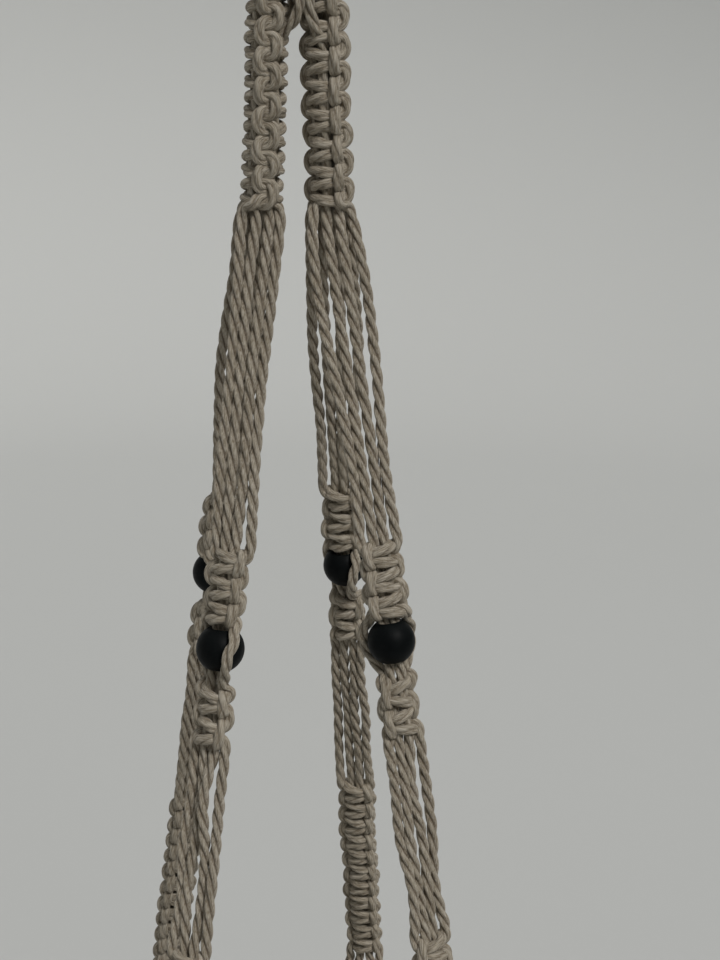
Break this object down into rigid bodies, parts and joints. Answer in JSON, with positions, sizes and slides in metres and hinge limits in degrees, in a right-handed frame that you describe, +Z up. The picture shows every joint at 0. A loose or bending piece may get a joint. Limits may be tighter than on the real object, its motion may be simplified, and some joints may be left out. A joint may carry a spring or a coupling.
{
  "type": "hanging macrame planter",
  "caption": "Rope plant hanger with ring, two thick sinnets, four beaded knotted arms, a knotted basket with a round pot, and a tassel.",
  "frame": {"origin": "inside top of the hanging ring, where a hook bears", "axes": "+Z up along the hanger's length, +X from the left thick sinnet to the right one, front towards -Y"},
  "size_m": [0.2292, 0.2291, 1.0862],
  "materials": {
    "cotton_rope": "three-strand cotton rope, satin fibres",
    "bead_paint": "matte black painted wood",
    "ring_wood": "sanded and oiled pale wood",
    "pot_glaze": "matte off-white"
  },
  "bodies": {
    "ring": {"hanging_ring": "ring_wood"},
    "hanger": {"folded_cords": "cotton_rope", "top_wrap": "cotton_rope", "neck_strands": "cotton_rope", "main_sinnet_left": "cotton_rope", "main_sinnet_right": "cotton_rope", "upper_strands_front_left": "cotton_rope", "upper_strands_front_right": "cotton_rope", "upper_strands_back_right": "cotton_rope", "upper_strands_back_left": "cotton_rope", "upper_knots_front_left": "cotton_rope", "upper_knots_front_right": "cotton_rope", "upper_knots_back_right": "cotton_rope", "upper_knots_back_left": "cotton_rope", "bead_fillers_front_left": "cotton_rope", "bead_fillers_front_right": "cotton_rope", "bead_fillers_back_right": "cotton_rope", "bead_fillers_back_left": "cotton_rope", "bead_side_cords_front_left": "cotton_rope", "bead_side_cords_front_right": "cotton_rope", "bead_side_cords_back_right": "cotton_rope", "bead_side_cords_back_left": "cotton_rope", "lower_knots_front_left": "cotton_rope", "lower_knots_front_right": "cotton_rope", "lower_knots_back_right": "cotton_rope", "lower_knots_back_left": "cotton_rope", "long_strands_front_left": "cotton_rope", "long_strands_front_right": "cotton_rope", "long_strands_back_right": "cotton_rope", "long_strands_back_left": "cotton_rope", "long_sinnet_front_left": "cotton_rope", "long_sinnet_front_right": "cotton_rope", "long_sinnet_back_right": "cotton_rope", "long_sinnet_back_left": "cotton_rope", "basket_cords_front_left": "cotton_rope", "basket_cords_front_right": "cotton_rope", "basket_cords_back_right": "cotton_rope", "basket_cords_back_left": "cotton_rope", "basket_knot_front": "cotton_rope", "basket_knot_right": "cotton_rope", "basket_knot_back": "cotton_rope", "basket_knot_left": "cotton_rope", "base_cords_front": "cotton_rope", "base_cords_right": "cotton_rope", "base_cords_back": "cotton_rope", "base_cords_left": "cotton_rope", "bottom_wrap": "cotton_rope", "tassel": "cotton_rope"},
    "pot": {"pot": "pot_glaze"},
    "bead_front_left": {"bead_front_left": "bead_paint"},
    "bead_front_right": {"bead_front_right": "bead_paint"},
    "bead_back_right": {"bead_back_right": "bead_paint"},
    "bead_back_left": {"bead_back_left": "bead_paint"}
  },
  "joints": [
    {"name": "hanger_swing", "type": "hinge", "parent": "ring", "child": "hanger", "pos_m": [0, 0, -0.025], "axis": [0, 1, 0], "range_deg": [-50, 50]},
    {"name": "bead_spin_front_left", "type": "hinge", "parent": "hanger", "child": "bead_front_left", "pos_m": [-0.03901, -0.04604, -0.414], "axis": [0.1276, 0.166, 0.9778], "continuous": true},
    {"name": "bead_spin_front_right", "type": "hinge", "parent": "hanger", "child": "bead_front_right", "pos_m": [0.03562, -0.04855, -0.414], "axis": [-0.1096, 0.1793, 0.9777], "continuous": true},
    {"name": "bead_spin_back_right", "type": "hinge", "parent": "hanger", "child": "bead_back_right", "pos_m": [0.03128, 0.05116, -0.414], "axis": [-0.0865, -0.1931, 0.9774], "continuous": true},
    {"name": "bead_spin_back_left", "type": "hinge", "parent": "hanger", "child": "bead_back_left", "pos_m": [-0.03349, 0.04991, -0.414], "axis": [0.0982, -0.1865, 0.9775], "continuous": true},
    {"name": "pot_lift", "type": "slide", "parent": "hanger", "child": "pot", "axis": [0, 0, 1], "range_m": [0, 0.045]}
  ]
}
